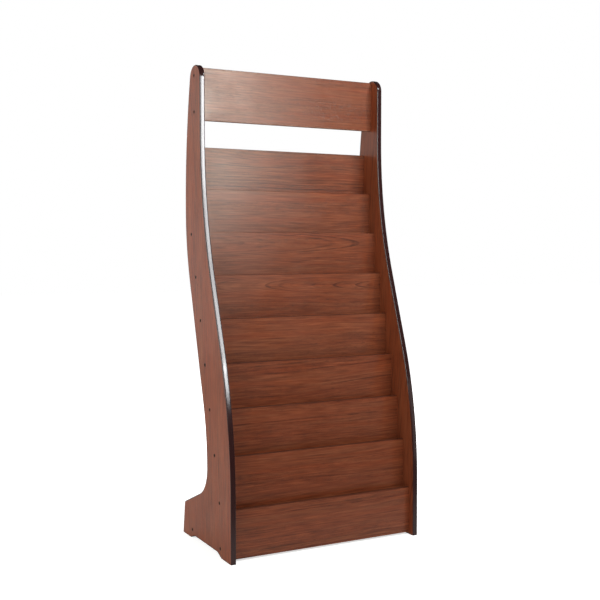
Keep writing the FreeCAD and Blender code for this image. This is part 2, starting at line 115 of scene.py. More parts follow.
# ---- node trees -------------------------------------------------------------------------
class Graph:
    """Short calls for the shader nodes that the finishes use."""

    def __init__(self, tree: bpy.types.NodeTree) -> None:
        """Keep the tree that the nodes go into."""
        self.tree = tree

    def node(self, kind: str, **settings: object) -> bpy.types.Node:
        """Add a node.

        Args:
            kind: The node's type, without its ShaderNode prefix.
            settings: Properties to set on the node.

        Returns:
            The new node.
        """
        made = self.tree.nodes.new("ShaderNode" + kind)
        for name, value in settings.items():
            setattr(made, name, value)
        return made

    def feed(self, socket: bpy.types.NodeSocket, value: object) -> None:
        """Link a socket to an input, or set the input's own value.

        Args:
            socket: The input to feed.
            value: A socket to link, or the input's own value.
        """
        if isinstance(value, bpy.types.NodeSocket):
            self.tree.links.new(value, socket)
        else:
            socket.default_value = value

    def math(self, operation: str, *values: object, clamp: bool = False) -> bpy.types.NodeSocket:
        """Work out values with a Math node.

        Args:
            operation: What the node does.
            values: The values that it takes.
            clamp: Whether the result is kept from 0 to 1.

        Returns:
            The result.
        """
        made = self.node("Math", operation=operation, use_clamp=clamp)
        for socket, value in zip(made.inputs, values):
            self.feed(socket, value)
        return made.outputs[0]

    def split(self, vector: bpy.types.NodeSocket) -> Sequence[bpy.types.NodeSocket]:
        """Take a vector apart.

        Args:
            vector: The vector to take apart.

        Returns:
            Its x, y and z.
        """
        made = self.node("SeparateXYZ")
        self.feed(made.inputs[0], vector)
        return made.outputs

    def join(self, x: object, y: object, z: object) -> bpy.types.NodeSocket:
        """Make a vector of three values.

        Args:
            x: The first value.
            y: The second value.
            z: The third value.

        Returns:
            The vector.
        """
        made = self.node("CombineXYZ")
        for socket, value in zip(made.inputs, (x, y, z)):
            self.feed(socket, value)
        return made.outputs[0]

    def noise(self, vector: object, scale: float, detail: float = 2.0,
              roughness: float = 0.5) -> bpy.types.NodeSocket:
        """Draw a noise texture, whose value is about 0.5 in the middle.

        Args:
            vector: The place in the noise.
            scale: Repeats to a unit of the vector.
            detail: Rounds of finer noise on top.
            roughness: How strong each finer round is.

        Returns:
            The noise's value.
        """
        made = self.node("TexNoise")
        self.feed(made.inputs["Vector"], vector)
        made.inputs["Scale"].default_value = scale
        made.inputs["Detail"].default_value = detail
        made.inputs["Roughness"].default_value = roughness
        return made.outputs["Fac"]

    def spread(self, value: object, fade: Pair, onto: Pair = (0.0, 1.0)) -> bpy.types.NodeSocket:
        """Map a value smoothly from one range to another.

        Args:
            value: The value to map.
            fade: The values that become the ends of the new range.
            onto: The new range.

        Returns:
            The mapped value.
        """
        made = self.node("MapRange", interpolation_type="SMOOTHSTEP")
        self.feed(made.inputs["Value"], value)
        for name, number in zip(("From Min", "From Max", "To Min", "To Max"), (*fade, *onto)):
            made.inputs[name].default_value = number
        return made.outputs["Result"]

    def blend(self, factor: object, first: object, second: object,
              way: str = "MIX") -> bpy.types.NodeSocket:
        """Mix two colours, or tone one by the other.

        Args:
            factor: The share of the second colour.
            first: The first colour.
            second: The second colour.
            way: How the second colour is laid on.

        Returns:
            The mixed colour.
        """
        made = self.node("Mix", data_type="RGBA", blend_type=way)
        self.feed(made.inputs[0], factor)
        self.feed(made.inputs[6], first)
        self.feed(made.inputs[7], second)
        return made.outputs[2]

    def ramp(self, value: object, stops: Iterable[tuple[float, Colour]]) -> bpy.types.NodeSocket:
        """Colour a value by a ramp.

        Args:
            value: The place on the ramp.
            stops: Places with their colours, both ends first.

        Returns:
            The colour at the place.
        """
        made = self.node("ValToRGB")
        elements = made.color_ramp.elements
        stops = list(stops)
        for element, (place, colour) in zip(elements, stops):
            element.position, element.color = place, colour
        for place, colour in stops[2:]:
            elements.new(place).color = colour
        self.feed(made.inputs[0], value)
        return made.outputs[0]

    def group(self, tree: bpy.types.NodeTree, **values: object) -> bpy.types.Node:
        """Place a node group and feed its inputs by their names.

        Args:
            tree: The group to place.
            values: What its inputs take, by their names with _ for a space.

        Returns:
            The group's node.
        """
        made = self.node("Group", node_tree=tree)
        for name, value in values.items():
            self.feed(made.inputs[name.replace("_", " ")], value)
        return made


def new_group(name: str, inputs: dict[str, float], outputs: Sequence[str]
              ) -> tuple[bpy.types.NodeTree, Graph, bpy.types.Node, bpy.types.Node]:
    """Make an empty shader group with a Vector input.

    Args:
        name: The group's name.
        inputs: Name and default of each number that the group takes.
        outputs: Name of each value that the group gives.

    Returns:
        The group, its graph, its input node and its output node.
    """
    tree = bpy.data.node_groups.new(name, "ShaderNodeTree")
    tree.interface.new_socket("Vector", in_out="INPUT", socket_type="NodeSocketVector")
    for label, default in inputs.items():
        socket = tree.interface.new_socket(label, in_out="INPUT", socket_type="NodeSocketFloat")
        socket.default_value = default
    for label in outputs:
        tree.interface.new_socket(label, in_out="OUTPUT", socket_type="NodeSocketFloat")
    graph = Graph(tree)
    start = tree.nodes.new("NodeGroupInput")
    end = tree.nodes.new("NodeGroupOutput")
    return tree, graph, start, end


def figure_group() -> bpy.types.NodeTree:
    """Build the wood figure: growth rings, bands, streaks and pores.

    Its Vector holds metres along the grain, across it and into the board. The board is cut
    from a leaning cone of rings, whose lines close into arches where the cone comes nearest.

    Returns:
        The group. Its Tone, Warmth and Pores run from 0 to 1, and its Height is low in a pore.
    """
    tree, graph, start, end = new_group(
        "wood_figure",
        {"Heart Depth": 0.03, "Ring Pitch": 0.01, "Ring Share": 0.3, "Vein Share": 0.4,
         "Streak Share": 0.6, "Band Share": 0.6, "Sway": 0.07, "Taper": 0.11, "Seed": 0.0},
        ("Tone", "Warmth", "Pores", "Height"))
    plain_tone, ripple_share, streak_relief = 0.42, 0.6, 0.35
    years_per_metre, year_spread, weakest_year, broken_share = 38.0, 3.0, 0.1, 0.25
    pitch = start.outputs["Ring Pitch"]
    along, across, depth = graph.split(start.outputs["Vector"])

    def drawn(pattern: Pattern, width: bpy.types.NodeSocket) -> bpy.types.NodeSocket:
        """Draw a pattern at a place across the grain.

        Args:
            pattern: The pattern to draw.
            width: The place across the grain.

        Returns:
            The pattern's noise.
        """
        look = pattern.value
        place = graph.join(graph.math("MULTIPLY", along, look.along),
                           graph.math("MULTIPLY", width, look.across), depth)
        return graph.noise(place, 1.0, look.detail, look.roughness)

    def centred(value: bpy.types.NodeSocket, amount: object) -> bpy.types.NodeSocket:
        """Return a noise about zero, times an amount."""
        return graph.math("MULTIPLY", graph.math("SUBTRACT", value, 0.5), amount)

    sway = centred(drawn(Pattern.SWAY, across), start.outputs["Sway"])
    ripple = centred(drawn(Pattern.RIPPLE, across), graph.math("MULTIPLY", pitch, ripple_share))
    bent = graph.math("ADD", across, graph.math("ADD", sway, ripple))
    heart = graph.math("ADD", graph.math("MULTIPLY", along, start.outputs["Taper"]),
                       start.outputs["Heart Depth"])
    radius = graph.math("SQRT", graph.math("ADD", graph.math("MULTIPLY", bent, bent),
                                           graph.math("MULTIPLY", heart, heart)))
    years = graph.join(graph.math("MULTIPLY", radius, years_per_metre), 0.0, 0.0)
    uneven = centred(graph.noise(years, 1.0), graph.math("MULTIPLY", pitch, year_spread))
    turns = graph.math("DIVIDE", graph.math("ADD", radius, uneven), pitch)
    ring = graph.math("FRACT", turns)
    draw = graph.node("TexWhiteNoise", noise_dimensions="1D")
    year = graph.math("ADD", graph.math("FLOOR", turns), start.outputs["Seed"])
    graph.feed(draw.inputs["W"], year)
    late = graph.math("MULTIPLY", graph.spread(ring, Fade.LATE_WOOD.value),
                      graph.spread(ring, Fade.RING_END.value))
    late = graph.math("MULTIPLY", late,
                      graph.spread(draw.outputs["Value"], (0.0, 1.0), (weakest_year, 1.0)))
    broken = drawn(Pattern.BROKEN_LINE, radius)
    late = graph.math("MULTIPLY", late, graph.spread(broken, Fade.BREAK.value, (broken_share, 1.0)))
    streak = drawn(Pattern.STREAK, bent)
    vein = drawn(Pattern.VEIN, bent)
    band = drawn(Pattern.BAND, bent)
    tone = graph.math("ADD", plain_tone, graph.math("MULTIPLY", late, start.outputs["Ring Share"]))
    tone = graph.math("ADD", tone, centred(vein, start.outputs["Vein Share"]))
    tone = graph.math("ADD", tone, centred(streak, start.outputs["Streak Share"]))
    tone = graph.math("ADD", tone, centred(band, start.outputs["Band Share"]), clamp=True)
    warmth = graph.spread(drawn(Pattern.WARM_PATCH, bent), Fade.WARMTH.value)
    pores = graph.math("MULTIPLY", graph.spread(drawn(Pattern.PORE, across), Fade.PORE.value),
                       graph.spread(band, Fade.PORE_BAND.value))
    height = graph.math("SUBTRACT", graph.math("MULTIPLY", streak, streak_relief), pores)
    for name, value in (("Tone", tone), ("Warmth", warmth), ("Pores", pores), ("Height", height)):
        graph.feed(end.inputs[name], value)
    return tree


def handling_group() -> bpy.types.NodeTree:
    """Build the marks of handling: wiped patches and fine scuffs that change the gloss.

    Returns:
        The group, whose Roughness runs from Gloss to Gloss plus Change.
    """
    tree, graph, start, end = new_group("handling", {"Gloss": 0.4, "Change": 0.08}, ("Roughness",))
    patch_share, scuff_share = 0.7, 0.3
    patches = graph.noise(start.outputs["Vector"], scale=6.0, detail=3.0)
    scuffs = graph.noise(start.outputs["Vector"], scale=85.0, roughness=0.7)
    mixed = graph.math("ADD", graph.math("MULTIPLY", patches, patch_share),
                       graph.math("MULTIPLY", scuffs, scuff_share))
    change = graph.math("MULTIPLY", graph.spread(mixed, Fade.HANDLING.value), start.outputs["Change"])
    graph.feed(end.inputs["Roughness"], graph.math("ADD", start.outputs["Gloss"], change))
    return tree


def chip_group() -> bpy.types.NodeTree:
    """Build the raw chipboard of an unbanded edge: pale chips with dark gaps.

    Returns:
        The group. Its Tone runs from 0 to 1, and its Height is low in the gaps.
    """
    tree, graph, start, end = new_group("chipboard", {"Chip Scale": 260.0}, ("Tone", "Height"))
    chip_share, fibre_share, gap_share = 0.6, 0.4, 0.35
    chips = graph.node("TexVoronoi", feature="F1")
    graph.feed(chips.inputs["Vector"], start.outputs["Vector"])
    graph.feed(chips.inputs["Scale"], start.outputs["Chip Scale"])
    cell = graph.split(chips.outputs["Color"])[0]
    gaps = graph.spread(chips.outputs["Distance"], Fade.CHIP_GAP.value)
    fibres = graph.noise(start.outputs["Vector"], scale=900.0)
    tone = graph.math("ADD", graph.math("MULTIPLY", cell, chip_share),
                      graph.math("MULTIPLY", fibres, fibre_share))
    tone = graph.math("SUBTRACT", tone, graph.math("MULTIPLY", gaps, gap_share), clamp=True)
    graph.feed(end.inputs["Tone"], tone)
    graph.feed(end.inputs["Height"], graph.math("SUBTRACT", tone, gaps))
    return tree


class Groups:
    """The shader groups that the finishes share, each built once."""

    def __init__(self) -> None:
        """Build every group."""
        self.figure = figure_group()
        self.handling = handling_group()
        self.chipboard = chip_group()


def new_material(name: str) -> tuple[bpy.types.Material, Graph, bpy.types.Node]:
    """Make a material with a shader.

    Args:
        name: The material's name.

    Returns:
        The material, its graph and its Principled shader.
    """
    material = bpy.data.materials.new(name)
    material.use_nodes = True
    graph = Graph(material.node_tree)
    return material, graph, material.node_tree.nodes["Principled BSDF"]


def object_point(graph: Graph) -> bpy.types.NodeSocket:
    """Return the object coordinates, in metres."""
    return graph.node("TexCoord").outputs["Object"]


def bump(graph: Graph, shader: bpy.types.Node, height: bpy.types.NodeSocket,
         distance: float, strength: float) -> None:
    """Give a shader a bumped normal of a stated depth.

    Args:
        graph: The material's graph.
        shader: The material's shader.
        height: The relief.
        distance: The relief's depth in metres.
        strength: The share of the relief that shows.
    """
    made = graph.node("Bump")
    made.inputs["Strength"].default_value = strength
    made.inputs["Distance"].default_value = distance
    graph.feed(made.inputs["Height"], height)
    graph.feed(shader.inputs["Normal"], made.outputs["Normal"])


def handle(graph: Graph, shader: bpy.types.Node, groups: Groups, point: bpy.types.NodeSocket,
           gloss: float, wear: float = 0.08) -> None:
    """Give a shader a gloss that handling has dulled here and there."""
    made = graph.group(groups.handling, Vector=point, Gloss=gloss, Change=wear)
    graph.feed(shader.inputs["Roughness"], made.outputs["Roughness"])


def streaks(graph: Graph, point: bpy.types.NodeSocket, look: Drawn) -> bpy.types.NodeSocket:
    """Draw a noise out along x.

    Args:
        graph: The material's graph.
        point: The object coordinates.
        look: The noise's repeats and detail.

    Returns:
        The noise's value.
    """
    x, y, z = graph.split(point)
    place = graph.join(graph.math("MULTIPLY", x, look.along), graph.math("MULTIPLY", y, look.across),
                       graph.math("MULTIPLY", z, look.across))
    return graph.noise(place, 1.0, look.detail, look.roughness)


# ---- finishes ---------------------------------------------------------------------------
@dataclass(frozen=True)
class WoodgrainMelamine:
    """Printed walnut melamine on chipboard, with the chips bare on unbanded edges."""

    name: str
    grain: Grain
    offset: Point = (0.0, 0.0, 0.0)
    heart_depth: float = 0.03
    ring_pitch: float = 0.0085
    ring_share: float = 0.46
    vein_share: float = 0.95
    streak_share: float = 1.25
    band_share: float = 0.32
    sway: float = 0.04
    taper: float = 0.11
    seed: float = 0.0
    dark: Colour = (0.079, 0.0182, 0.0075, 1.0)
    middle: Colour = (0.167, 0.0420, 0.0158, 1.0)
    light: Colour = (0.250, 0.0740, 0.0300, 1.0)
    warm_tint: Colour = (1.05, 0.84, 0.72, 1.0)
    pore: Colour = (0.030, 0.009, 0.005, 1.0)
    chip_dark: Colour = (0.16, 0.09, 0.045, 1.0)
    chip_pale: Colour = (0.52, 0.36, 0.20, 1.0)
    sheen_tint: Colour = (1.0, 0.99, 0.88, 1.0)
    gloss: float = 0.28
    refraction: float = 1.52
    relief: float = 0.00006
    relief_share: float = 0.6
    bare_below: Optional[float] = None

    def material(self, groups: Groups) -> bpy.types.Material:
        """Build the material from the shared groups.

        Args:
            groups: The shared groups.

        Returns:
            The finished material.
        """
        material, graph, shader = new_material(self.name)
        point = object_point(graph)
        x, y, z = graph.split(point)
        order = {Grain.ALONG_X: (x, z, y), Grain.UPRIGHT: (z, y, x)}
        along, across, depth = (graph.math("ADD", axis, shift)
                                for axis, shift in zip(order[self.grain], self.offset))
        figure = graph.group(groups.figure, Vector=graph.join(along, across, depth),
                             Heart_Depth=self.heart_depth, Ring_Pitch=self.ring_pitch,
                             Ring_Share=self.ring_share, Vein_Share=self.vein_share,
                             Streak_Share=self.streak_share, Band_Share=self.band_share,
                             Sway=self.sway, Taper=self.taper, Seed=self.seed)
        colour = graph.ramp(figure.outputs["Tone"], ((0.0, self.light), (1.0, self.dark),
                                                     (0.5, self.middle)))
        colour = graph.blend(figure.outputs["Warmth"], colour, self.warm_tint, "MULTIPLY")
        colour = graph.blend(figure.outputs["Pores"], colour, self.pore)
        height = figure.outputs["Height"]
        if self.bare_below is not None:
            colour, height = self.bared(graph, groups, point, z, colour, height)
        graph.feed(shader.inputs["Base Color"], colour)
        handle(graph, shader, groups, point, self.gloss)
        shader.inputs["IOR"].default_value = self.refraction
        shader.inputs["Specular Tint"].default_value = self.sheen_tint
        bump(graph, shader, height, self.relief, self.relief_share)
        return material

    def bared(self, graph: Graph, groups: Groups, point: bpy.types.NodeSocket,
              z: bpy.types.NodeSocket, colour: bpy.types.NodeSocket,
              height: bpy.types.NodeSocket) -> tuple[bpy.types.NodeSocket, bpy.types.NodeSocket]:
        """Show bare chipboard on the board's lower edge.

        Args:
            graph: The material's graph.
            groups: The shared groups.
            point: The object coordinates.
            z: The height above the floor.
            colour: The melamine's colour.
            height: The melamine's relief.

        Returns:
            The colour and the relief of both together.
        """
        chips = graph.group(groups.chipboard, Vector=point)
        bare = graph.math("LESS_THAN", z, self.bare_below)
        raw = graph.ramp(chips.outputs["Tone"], ((0.0, self.chip_dark), (1.0, self.chip_pale)))
        mixed = graph.math("ADD", graph.math("MULTIPLY", chips.outputs["Height"], bare),
                           graph.math("MULTIPLY", height, graph.math("SUBTRACT", 1.0, bare)))
        return graph.blend(bare, colour, raw), mixed


@dataclass(frozen=True)
class GlossyMoulding:
    """Black moulding drawn in one length, with fine lines along it."""

    name: str
    colour: Colour = (0.027, 0.0090, 0.0085, 1.0)
    faded: Colour = (0.042, 0.0170, 0.0155, 1.0)
    lines_per_metre: float = 1500.0
    dust_per_metre: float = 420.0
    dust_fade: Pair = (0.52, 0.78)
    gloss: float = 0.125
    wear: float = 0.03
    refraction: float = 1.50
    relief: float = 0.00004
    relief_share: float = 0.2

    def material(self, groups: Groups) -> bpy.types.Material:
        """Build the material, whose lines change only across the moulding.

        Args:
            groups: The shared groups.

        Returns:
            The finished material.
        """
        material, graph, shader = new_material(self.name)
        point = object_point(graph)
        across = graph.math("MULTIPLY", graph.split(point)[0], self.lines_per_metre)
        lines = graph.noise(graph.join(across, 0.0, 0.0), 1.0, detail=3.0)
        dust = graph.noise(point, self.dust_per_metre, detail=3.0, roughness=0.7)
        graph.feed(shader.inputs["Base Color"],
                   graph.blend(graph.spread(dust, self.dust_fade), self.colour, self.faded))
        handle(graph, shader, groups, point, self.gloss, self.wear)
        shader.inputs["IOR"].default_value = self.refraction
        bump(graph, shader, lines, self.relief, self.relief_share)
        return material


@dataclass(frozen=True)
class FlatStrip:
    """Thin plastic edge strip, printed along its length."""

    name: str
    light: Colour
    dark: Colour
    streak: Drawn = Drawn(9.0, 420.0, 3.0, 0.6)
    streak_fade: Pair = (0.35, 0.65)
    gloss: float = 0.55
    shine: float = 0.15
    relief: float = 0.00003
    relief_share: float = 0.5

    def material(self, groups: Groups) -> bpy.types.Material:
        """Build the material with streaks along x.

        Args:
            groups: The shared groups.

        Returns:
            The finished material.
        """
        material, graph, shader = new_material(self.name)
        point = object_point(graph)
        streak = streaks(graph, point, self.streak)
        graph.feed(shader.inputs["Base Color"],
                   graph.blend(graph.spread(streak, self.streak_fade), self.light, self.dark))
        handle(graph, shader, groups, point, self.gloss)
        shader.inputs["Specular IOR Level"].default_value = self.shine
        bump(graph, shader, streak, self.relief, self.relief_share)
        return material


@dataclass(frozen=True)
class DarkScrew:
    """Bronzed steel, worn bright on its highest spots."""

    name: str
    bronze: Colour = (0.030, 0.020, 0.016, 1.0)
    bright: Colour = (0.16, 0.13, 0.11, 1.0)
    specks_per_metre: float = 900.0
    worn_fade: Pair = (0.56, 0.72)
    metal: float = 0.85
    gloss: float = 0.38
    wear: float = 0.15
    relief: float = 0.00002
    relief_share: float = 0.4

    def material(self, groups: Groups) -> bpy.types.Material:
        """Build the material with fine worn specks.

        Args:
            groups: The shared groups.

        Returns:
            The finished material.
        """
        material, graph, shader = new_material(self.name)
        point = object_point(graph)
        specks = graph.noise(point, self.specks_per_metre, detail=3.0, roughness=0.7)
        worn = graph.spread(specks, self.worn_fade)
        graph.feed(shader.inputs["Base Color"], graph.blend(worn, self.bronze, self.bright))
        shader.inputs["Metallic"].default_value = self.metal
        handle(graph, shader, groups, point, self.gloss, self.wear)
        bump(graph, shader, worn, self.relief, self.relief_share)
        return material


@dataclass(frozen=True)
class RawBeech:
    """Turned beech dowel with short flecks."""

    name: str
    pale: Colour = (0.62, 0.44, 0.27, 1.0)
    dark: Colour = (0.42, 0.26, 0.14, 1.0)
    fleck: Drawn = Drawn(120.0, 900.0)
    fleck_fade: Pair = (0.4, 0.62)
    gloss: float = 0.62
    relief: float = 0.00005
    relief_share: float = 0.5

    def material(self, groups: Groups) -> bpy.types.Material:
        """Build the material with flecks along x.

        Args:
            groups: The shared groups.

        Returns:
            The finished material.
        """
        material, graph, shader = new_material(self.name)
        point = object_point(graph)
        fleck = streaks(graph, point, self.fleck)
        graph.feed(shader.inputs["Base Color"],
                   graph.blend(graph.spread(fleck, self.fleck_fade), self.pale, self.dark))
        handle(graph, shader, groups, point, self.gloss)
        bump(graph, shader, fleck, self.relief, self.relief_share)
        return material


# ---- the side panels' outline --------------------------------------------------------------
@dataclass(frozen=True)
class Corner:
    """A corner of an outline and the radius of the bend in it."""

    y: float
    z: float
    radius: float = 0.0


@dataclass
class PanelOutline:
    """The S-shaped edge of a side panel, from the front foot over the head to the rear foot.

    The sizes are in metres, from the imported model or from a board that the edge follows. The
    two bends of the head take up the crown share of its width.
    """

    top_setback: float = 0.080
    lower_front_top: float = 0.025
    upper_front_start: float = 0.0365
    front_bends: Pair = (1.230, 1.240)
    belly_margin: float = 0.0205
    belly_drop: float = 0.405
    back_bends: Pair = (0.655, 0.737)
    nape_bend: float = 1.790
    head_lean: float = math.radians(11.9)
    crown_share: float = 0.98
    waist_board: int = 6
    waist_margin: float = 0.0315
    flare_bend: float = 0.090
    flare_slope: float = math.radians(22.5)
    heel_height: float = 0.0955
    heel_setback: float = 0.0145
    heel_bend: float = 0.010
    front: float = field(init=False)
    rear: float = field(init=False)
    height: float = field(init=False)

    def __post_init__(self) -> None:
        """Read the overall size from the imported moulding."""
        low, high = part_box("edge_moulding_right")
        self.front, self.rear, self.height = low[1], high[1], high[2]

    @staticmethod
    def s_bend(low: Pair, high: Pair, bends: Pair) -> list[Corner]:
        """Work out the two corners of an S between two upright stretches.

        Args:
            low: The y and z at which the lower upright stretch ends.
            high: The y and z at which the upper upright stretch starts.
            bends: The radius of the lower bend and of the upper one.

        Returns:
            The lower corner and the upper one.
        """
        run, rise, both = high[0] - low[0], high[1] - low[1], sum(bends)
        straight = math.sqrt((both - run) ** 2 + rise ** 2 - both ** 2)
        lean = math.atan2(rise, both - run) - math.atan2(straight, both)
        reach = math.tan(lean / 2)
        return [Corner(low[0], low[1] + bends[0] * reach, bends[0]),
                Corner(high[0], high[1] - bends[1] * reach, bends[1])]

    def corners(self) -> list[Corner]:
        """Work out the corners from the front foot round to the rear foot.

        Returns:
            The corners in the order in which the moulding runs.
        """
        top_board, front_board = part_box("pocket_board_strip_1"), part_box(f"pocket_board_strip_{BOARDS}")
        waist_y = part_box(f"pocket_board_{self.waist_board}")[1][1] + self.waist_margin
        upper_y = top_board[0][1] - self.top_setback
        belly_y = top_board[1][1] + self.belly_margin
        belly_z = self.height - self.belly_drop
        front = self.s_bend((self.front, front_board[1][2] + self.lower_front_top),
                            (upper_y, top_board[1][2] + self.upper_front_start), self.front_bends)
        nape_z = belly_z + self.nape_bend * math.tan(self.head_lean / 2)
        crown_y = belly_y - (self.height - nape_z) * math.tan(self.head_lean)
        reach = 1.0 + math.tan((math.pi / 2 - self.head_lean) / 2)
        crown = self.crown_share * (crown_y - upper_y) / reach
        heel_y = self.rear - self.heel_setback
        flare_z = self.heel_height + (heel_y - waist_y) * math.tan(self.flare_slope)
        waist_z = flare_z + self.flare_bend * math.tan((math.pi / 2 - self.flare_slope) / 2)
        waist, belly = self.s_bend((waist_y, waist_z), (belly_y, belly_z), self.back_bends)
        return [Corner(self.front, 0.0), *front, Corner(upper_y, self.height, crown),
                Corner(crown_y, self.height, crown), Corner(belly_y, nape_z, self.nape_bend), belly,
                waist, Corner(waist_y, flare_z, self.flare_bend),
                Corner(heel_y, self.heel_height, self.heel_bend), Corner(self.rear, 0.0)]


# ---- pieces -------------------------------------------------------------------------------
def finish_piece(name: str, shape: bmesh.types.BMesh, material: bpy.types.Material,
                 smooth: float = math.radians(35)) -> bpy.types.Object:
    """Turn a bmesh into a smooth-shaded object at the origin.

    Args:
        name: The object's name.
        shape: The finished bmesh, which is freed.
        material: The object's only material.
        smooth: Edges sharper than this angle stay sharp.

    Returns:
        The new object, linked into the scene.
    """
    mesh = bpy.data.meshes.new(name)
    shape.to_mesh(mesh)
    shape.free()
    for face in mesh.polygons:
        face.use_smooth = True
    mesh.set_sharp_from_angle(angle=smooth)
    mesh.materials.append(material)
    made = bpy.data.objects.new(name, mesh)
    bpy.context.scene.collection.objects.link(made)
    return made


@dataclass
class DomedMoulding:
    """A domed moulding swept round the front, head and back of a side panel.

    It is flat over the crown width and drops by the dome towards its rounded edges. The sweep
    overruns both feet, where the floor then cuts it level.
    """

    side: Side
    outline: PanelOutline
    dome: float = 0.00015
    crown_width: float = 0.006
    edge_round: float = 0.0016
    edge_facets: int = 4
    overrun: float = 0.02
    step_angle: float = math.radians(1.2)
    least_steps: int = 3
    width: Pair = field(init=False)
    thickness: float = field(init=False)

    def __post_init__(self) -> None:
        """Read the cap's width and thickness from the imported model."""
        low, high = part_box(f"edge_moulding_{self.side.label}")
        self.width = (low[0], high[0])
        self.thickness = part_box(f"side_panel_{self.side.label}")[0][1] - low[1]

    def section(self, shape: bmesh.types.BMesh) -> list[bmesh.types.BMEdge]:
        """Draw the cap's section under the front foot.

        Args:
            shape: The moulding's bmesh.

        Returns:
            The section's edges.
        """
        (low, high), front = self.width, self.outline.front
        middle, half = (low + high) / 2, self.crown_width / 2
        points = [(low, self.thickness), (low, self.dome), (middle - half, 0.0),
                  (middle + half, 0.0), (high, self.dome), (high, self.thickness)]
        corners = [shape.verts.new((x, front + y, -self.overrun)) for x, y in points]
        shape.faces.new(corners)
        bmesh.ops.bevel(shape, geom=corners[1:3] + corners[3:5], offset=self.edge_round,
                        affect="VERTICES", segments=self.edge_facets, profile=0.5, material=-1,
                        clamp_overlap=True)
        return list(shape.edges)

    def sweep(self, shape: bmesh.types.BMesh, ring: list[bmesh.types.BMEdge]) -> None:
        """Carry the section along every straight and round every bend of the outline.

        Args:
            shape: The moulding's bmesh.
            ring: The section's edges.
        """
        corners = self.outline.corners()
        place = Vector((0.0, corners[0].y, -self.overrun))
        for before, corner, after in zip(corners, corners[1:], corners[2:]):
            into = Vector((0.0, corner.y - before.y, corner.z - before.z)).normalized()
            away = Vector((0.0, after.y - corner.y, after.z - corner.z)).normalized()
            turn = into.angle(away)
            reach = corner.radius * math.tan(turn / 2)
            bend_start = Vector((0.0, corner.y, corner.z)) - into * reach
            ring = self.straight(shape, ring, bend_start - place)
            clockwise = 1.0 if into.cross(away).x < 0 else -1.0
            towards = Vector((0.0, into.z, -into.y)) * clockwise
            centre = bend_start + towards * corner.radius
            steps = max(self.least_steps, math.ceil(turn / self.step_angle))
            spun = bmesh.ops.spin(shape, geom=ring, cent=centre, axis=(1.0, 0.0, 0.0),
                                  angle=-turn * clockwise, steps=steps, use_merge=False)
            ring = [item for item in spun["geom_last"] if isinstance(item, bmesh.types.BMEdge)]
            place = Vector((0.0, corner.y, corner.z)) + away * reach
        last = Vector((0.0, corners[-1].y, corners[-1].z))
        beyond = (last - place).normalized() * self.overrun
        self.straight(shape, ring, last + beyond - place)

    @staticmethod
    def straight(shape: bmesh.types.BMesh, ring: list[bmesh.types.BMEdge],
                 move: Vector) -> list[bmesh.types.BMEdge]:
        """Extrude a section in a straight line, unless the line is too short to matter.

        Args:
            shape: The moulding's bmesh.
            ring: The section's edges.
            move: How far the section goes, and which way.

        Returns:
            The edges at the section's new place.
        """
        if move.length < TOUCHING:
            return ring
        made = bmesh.ops.extrude_edge_only(shape, edges=ring)["geom"]
        points = [item for item in made if isinstance(item, bmesh.types.BMVert)]
        bmesh.ops.translate(shape, verts=points, vec=move)
        fresh = set(points)
        return [item for item in made if isinstance(item, bmesh.types.BMEdge)
                and fresh.issuperset(item.verts)]

    def build(self, material: bpy.types.Material) -> bpy.types.Object:
        """Make the moulding, cut level with the floor and closed at both ends.

        Args:
            material: The moulding's finish.

        Returns:
            The moulding's object.
        """
        shape = bmesh.new()
        ring = self.section(shape)
        self.sweep(shape, ring)
        bmesh.ops.remove_doubles(shape, verts=shape.verts, dist=TOUCHING)
        everything = shape.verts[:] + shape.edges[:] + shape.faces[:]
        bmesh.ops.bisect_plane(shape, geom=everything, plane_co=(0.0, 0.0, 0.0),
                               plane_no=(0.0, 0.0, -1.0), clear_outer=True)
        rims = [edge for edge in shape.edges if edge.is_boundary]
        bmesh.ops.holes_fill(shape, edges=rims, sides=0)
        bmesh.ops.recalc_face_normals(shape, faces=shape.faces)
        made = finish_piece(f"domed_moulding_{self.side.label}", shape, material)
        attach(made, "root")
        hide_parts(f"edge_moulding_{self.side.label}")
        return made


def dress(node: str, material: bpy.types.Material) -> None:
    """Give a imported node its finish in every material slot.

    Args:
        node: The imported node's name.
        material: Its finish.
    """
    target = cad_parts[node]
    if not target.material_slots:
        target.data.materials.append(material)
    for slot in target.material_slots:
        slot.material = material


@dataclass
class SidePanels:
    """The two side panels with their mouldings, foot strips and fasteners."""

    outline: PanelOutline
    grain_shift: Point = (0.30, 0.24, 0.05)
    heart_depth: float = 0.16
    moulding_finish: GlossyMoulding = GlossyMoulding("black_moulding")
    foot_finish: FlatStrip = FlatStrip("black_strip", light=(0.014, 0.012, 0.012, 1.0),
                                       dark=(0.008, 0.007, 0.007, 1.0), gloss=0.4)
    dowel_finish: RawBeech = RawBeech("raw_beech")

    def build(self, groups: Groups, screw: bpy.types.Material) -> None:
        """Dress the panels and build their mouldings.

        Args:
            groups: The shared groups.
            screw: The screws' finish.
        """
        black = self.moulding_finish.material(groups)
        foot = self.foot_finish.material(groups)
        beech = self.dowel_finish.material(groups)
        for side in Side:
            shift = tuple(side.value * value for value in self.grain_shift)
            wood = WoodgrainMelamine(f"panel_walnut_{side.label}", Grain.UPRIGHT, shift,
                                     heart_depth=self.heart_depth).material(groups)
            dress(f"side_panel_{side.label}", wood)
            dress(f"foot_strip_{side.label}", foot)
            dress(f"panel_screws_{side.label}", screw)
            dress(f"board_dowels_{side.label}", beech)
            moulding = DomedMoulding(side, self.outline).build(black)
            LOG.info("%s: %d faces", moulding.name, len(moulding.data.polygons))


